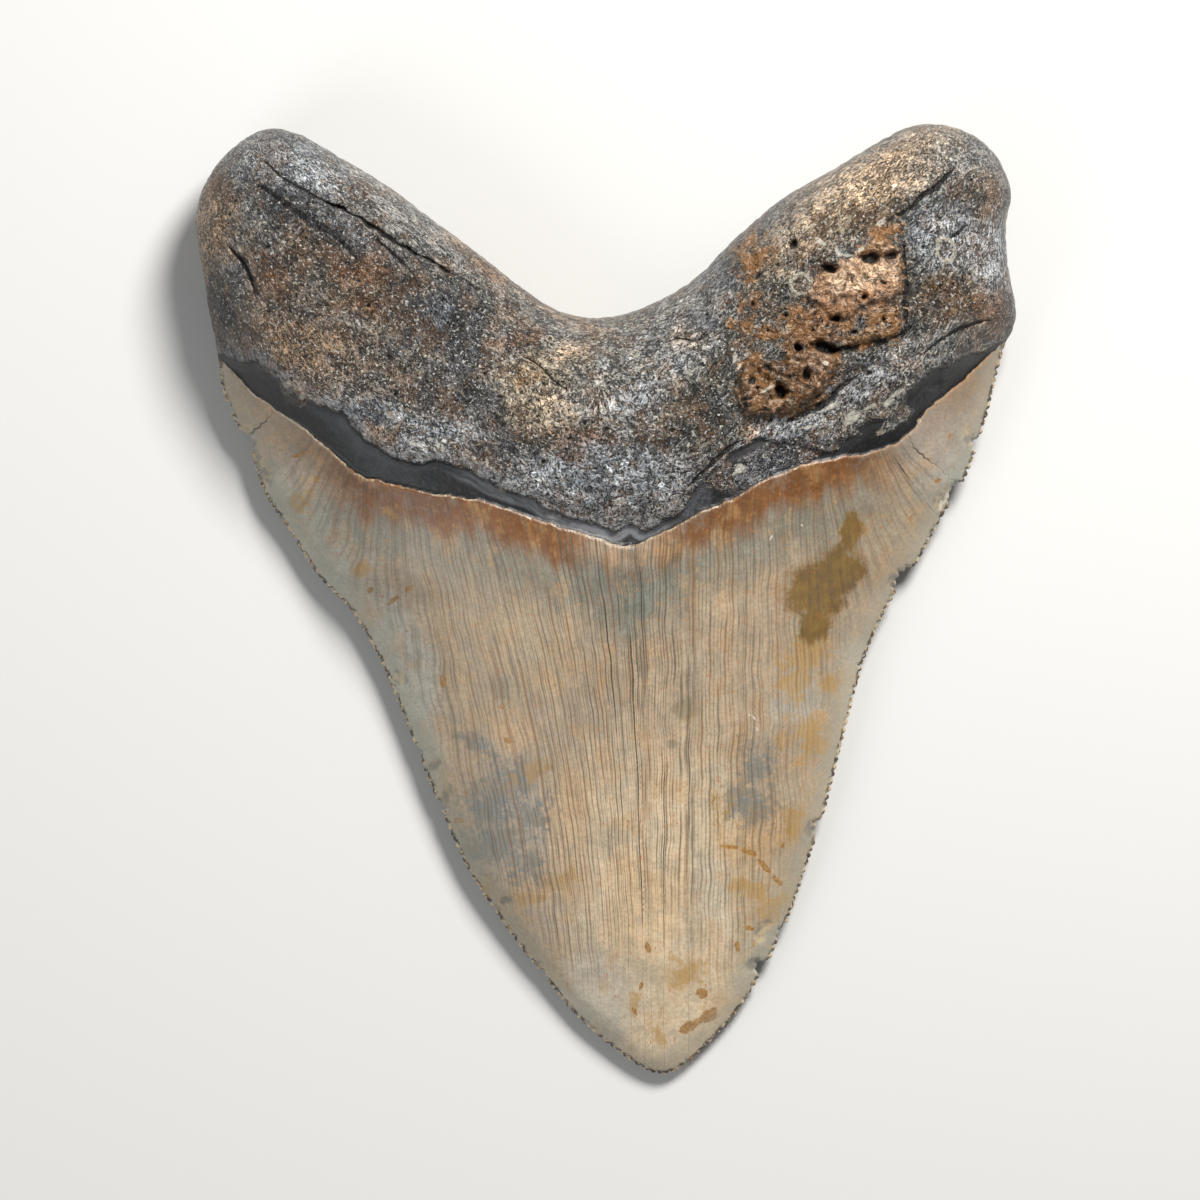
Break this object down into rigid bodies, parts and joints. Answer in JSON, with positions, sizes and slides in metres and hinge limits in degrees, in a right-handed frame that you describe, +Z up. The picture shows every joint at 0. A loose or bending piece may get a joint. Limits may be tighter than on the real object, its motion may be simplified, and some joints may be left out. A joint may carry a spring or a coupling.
{
  "type": "megalodon tooth",
  "caption": "Large triangular fossil shark tooth with serrated cutting edges, a thick notched root with two lobes and a patch of pitted crust, lying flat.",
  "frame": {"origin": "on the surface the tooth rests on, under the middle of its bounding box", "axes": "+Z up out of the lingual face, +Y from the tip towards the root, +X across the root towards the lobe with the crust"},
  "size_m": [0.122, 0.1416, 0.0279],
  "materials": {
    "fossil_tooth": "fossil tooth: satin grey-tan enamel with fine lengthwise lines, a smooth charcoal band and a rough dark grey-brown root with tan speckle"
  },
  "bodies": {
    "root": {"tooth": "fossil_tooth"}
  },
  "joints": []
}
